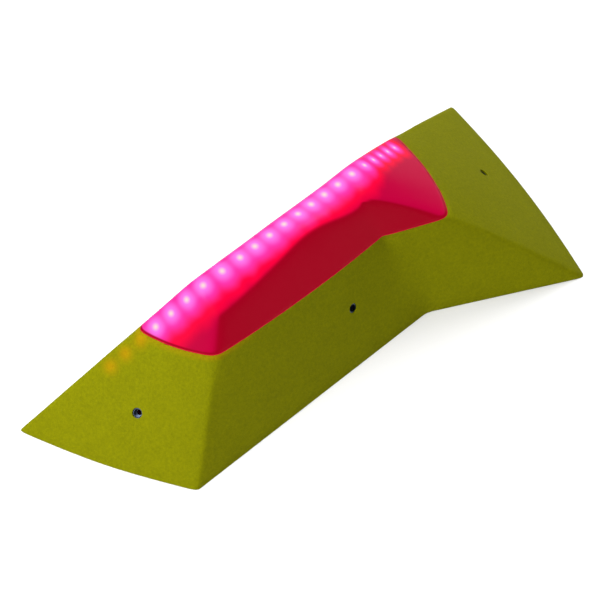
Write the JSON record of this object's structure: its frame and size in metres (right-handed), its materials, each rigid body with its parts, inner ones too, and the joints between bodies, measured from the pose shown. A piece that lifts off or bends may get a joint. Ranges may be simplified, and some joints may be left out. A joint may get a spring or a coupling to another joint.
{
  "type": "lit climbing volume",
  "caption": "Bolt-on climbing volume: olive sand-textured fibreglass body with sloping faces, threaded hold inserts and a translucent rose cover lit by an LED strip.",
  "frame": {"origin": "centre of the bounding box footprint, on the plane of the rim that rests on the wall panel", "axes": "+Z away from the panel, +X along the length to the flared end, -Y to the long waisted front face"},
  "size_m": [1.0762, 0.4551, 0.2606],
  "materials": {
    "zinc_fasteners": "bright zinc plate",
    "blued_steel": "turned steel with a blue-black finish",
    "pad_plywood": "resin-sealed birch plywood",
    "birch_plywood": "sanded birch plywood",
    "green_grp": "olive-yellow pigmented glass-fibre moulding with a fine sand grip texture",
    "cap_plastic": "grey moulded plastic",
    "foam_tape": "black foam tape",
    "angle_steel": "galvanised sheet steel",
    "dark_seal": "dark red flat sealing strip",
    "board_green": "green lacquered circuit board",
    "driver_plastic": "grey textured moulding",
    "black_rubber": "black rubber sheath",
    "channel_aluminium": "anodised extrusion",
    "black_plastic": "black moulded nylon",
    "white_strip": "white coated flexible circuit",
    "led_glow": "lit LED packages",
    "rose_cover": "translucent rose moulded cover, lit from inside"
  },
  "bodies": {
    "root": {"angle_screws": "zinc_fasteners", "back_hold_insert": "blued_steel", "back_insert_pad": "pad_plywood", "base_ring": "birch_plywood", "body_shell": "green_grp", "channel_caps": "cap_plastic", "channel_pads": "foam_tape", "channel_posts": "angle_steel", "cover_nuts": "zinc_fasteners", "cover_screws": "zinc_fasteners", "cover_seal": "dark_seal", "driver_board": "board_green", "driver_case": "driver_plastic", "driver_lid": "driver_plastic", "driver_lid_screws": "zinc_fasteners", "front_hold_insert": "blued_steel", "front_insert_pad": "pad_plywood", "inlet_nut": "zinc_fasteners", "lead_grommet": "black_rubber", "led_channel": "channel_aluminium", "led_gland": "black_plastic", "led_lead": "black_rubber", "led_strip": "white_strip", "leds": "led_glow", "left_hold_insert": "blued_steel", "left_insert_pad": "pad_plywood", "left_rib": "birch_plywood", "light_cover": "rose_cover", "middle_rib": "birch_plywood", "post_screws": "zinc_fasteners", "power_gland": "black_plastic", "power_inlet": "black_plastic", "power_lead": "black_rubber", "rib_angles": "angle_steel", "right_hold_insert": "blued_steel", "right_insert_pad": "pad_plywood", "right_rib": "birch_plywood", "wall_tee_nuts": "zinc_fasteners"}
  },
  "joints": []
}
